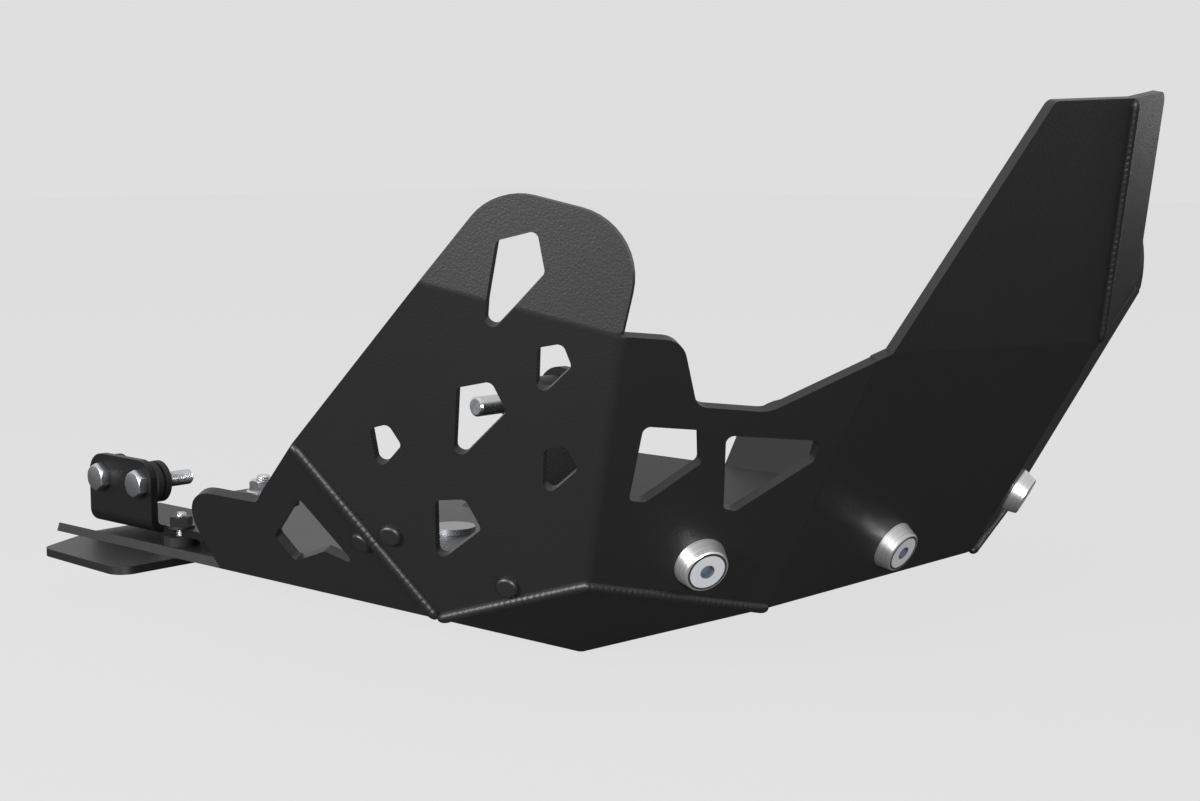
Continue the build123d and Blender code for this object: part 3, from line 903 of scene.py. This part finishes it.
@dataclass
class FrontPuck:
    """A turned puck with its flush screw."""

    place: str
    seat: tuple
    axis: tuple

    def build(self) -> None:
        """Dress the puck and its screw in turned metal, with painted shade in the gap between them and in the
        screw's socket.
        """
        puck_name = f"puck_{self.place}"
        screw_name = f"puck_screw_{self.place}"
        puck = TurnedAluminium(f"{puck_name}_turned", self.seat, self.axis, 0.0, GAP_OUTER)
        screw = TurnedAluminium(
            f"{screw_name}_plated", self.seat, self.axis, GAP_INNER, PAST_SCREW,
            colour=(0.86, 0.88, 0.90), roughness=0.32, bareness=0.5,
            ring_colour=(0.74, 0.76, 0.79), ring_scale=2600.0, socket_radius=SOCKET_RADIUS)
        dress(puck_name, puck.build())
        dress(screw_name, screw.build())
        log.info("%s dressed", puck_name)


@dataclass(frozen=True)
class Softbox:
    """A rectangular lamp."""

    name: str
    place: tuple
    width: float
    height: float
    watts: float

    def build(self, target: tuple) -> None:
        """Add the lamp.

        Args:
            target: The point that it faces.
        """
        shape = bpy.data.lights.new(self.name, "AREA")
        shape.shape = "RECTANGLE"
        shape.size = self.width
        shape.size_y = self.height
        shape.energy = self.watts
        lamp = bpy.data.objects.new(self.name, shape)
        bpy.context.scene.collection.objects.link(lamp)
        lamp.location = self.place
        lamp.rotation_euler = (Vector(self.place) - Vector(target)).to_track_quat("Z", "Y").to_euler()


@dataclass
class Studio:
    """Floor, soft lamps, the pale air round them and the camera at the photograph's angle."""

    middle: tuple = (0.07, 0.0, 0.11)
    eye: tuple = (0.7267, -0.6832, 0.2085)
    aim: tuple = (82.67, 0.0, 42.33)
    lens: float = 60.0
    sensor_width: float = 36.0
    nearest: float = 0.01
    farthest: float = 50.0
    floor_size: float = 12.0
    world_level: float = 0.16
    world_shine: float = 1.0
    lamps: tuple = (
        Softbox("left_softbox", (0.0, -1.75, 0.62), 1.0, 0.36, 42.0),
        Softbox("top_softbox", (0.1, -0.2, 1.9), 1.6, 1.6, 3.5),
        Softbox("rear_softbox", (0.30, 1.9, 0.22), 0.4, 0.3, 1.1),
        Softbox("front_softbox", (1.5, -0.95, 0.30), 0.8, 0.3, 27.0),
    )

    def build(self) -> None:
        """Set up the studio."""
        self._floor()
        for lamp in self.lamps:
            lamp.build(self.middle)
        self._world()
        self._camera()
        bpy.context.scene.view_settings.view_transform = "Standard"
        log.info("studio set")

    def _floor(self) -> None:
        """Lay the paper floor under the part. What shows above it is the world."""
        deselect()
        bpy.ops.mesh.primitive_plane_add(size=self.floor_size, location=(0.0, 0.0, 0.0))
        floor = bpy.context.object
        floor.name = "floor"
        floor.data.materials.append(StudioPaper().build())

    def _world(self) -> None:
        """Pale grey to the camera and in reflections, dim as a light."""
        world = bpy.data.worlds.new("studio_air")
        bpy.context.scene.world = world
        world.use_nodes = True
        tree = world.node_tree
        paint = Painter(tree)
        air = tree.nodes["Background"]
        pale = (StudioPaper().seen,) * 3
        colour = paint.blend(paint.sight(self.world_shine), (self.world_level,) * 3, pale)
        tree.links.new(colour.socket, air.inputs["Color"])
        air.inputs["Strength"].default_value = 1.0

    def _camera(self) -> None:
        """Set the camera where the photograph was taken from."""
        lens = bpy.data.cameras.new("camera")
        lens.lens = self.lens
        lens.sensor_width = self.sensor_width
        lens.clip_start = self.nearest
        lens.clip_end = self.farthest
        camera = bpy.data.objects.new("camera", lens)
        camera.location = self.eye
        camera.rotation_euler = tuple(radians(angle) for angle in self.aim)
        bpy.context.scene.collection.objects.link(camera)
        bpy.context.scene.camera = camera


def main() -> None:
    """Dress the solids, lay the welds, cut the threads and set up the studio."""
    logging.basicConfig(level=logging.INFO, format="%(name)s %(message)s")
    coat = PowderCoat().build()
    zinc = PlatedSteel("zinc_plate").build()
    DressedNodes({
        Slot.POWDER_COAT: coat,
        Slot.BRACKET_COAT: PowderCoat("bracket_coat", (0.007, 0.007, 0.0072), gloss=0.25).build(),
        Slot.ZINC_STEEL: zinc,
        Slot.BLACK_HARDWARE: DarkHardware("black_oxide", (0.012, 0.012, 0.0125), 0.38, 0.5).build(),
        Slot.BUSH_RUBBER: DarkHardware("moulded_rubber", (0.010, 0.010, 0.010), 0.6, 0.35).build(),
        Slot.DRAIN_STEEL: PlatedSteel("dull_steel", (0.32, 0.33, 0.34), 0.42).build(),
    }).build()
    for place, (seat, axis) in PUCK_SEATS.items():
        FrontPuck(place, at(seat), axis).build()
    beads = {
        "rim_weld_near": [RIM_TOP, SIDE_CORNER],
        "rim_weld_far": [across(RIM_TOP), across(SIDE_CORNER)],
        "nose_weld_near": [SIDE_CORNER, NOSE_NEAR, RAMP_CORNER],
        "nose_weld_far": [across(SIDE_CORNER), NOSE_FAR, across(RAMP_CORNER)],
        "wing_weld": [TONGUE_FAR, WING_ROOT],
    }
    for name, points in beads.items():
        WeldBead(name, [at(point) for point in points]).build(coat)
    for bolt in threaded_fasteners():
        bolt.build(zinc)
    Studio().build()


if __name__ == "__main__":
    main()
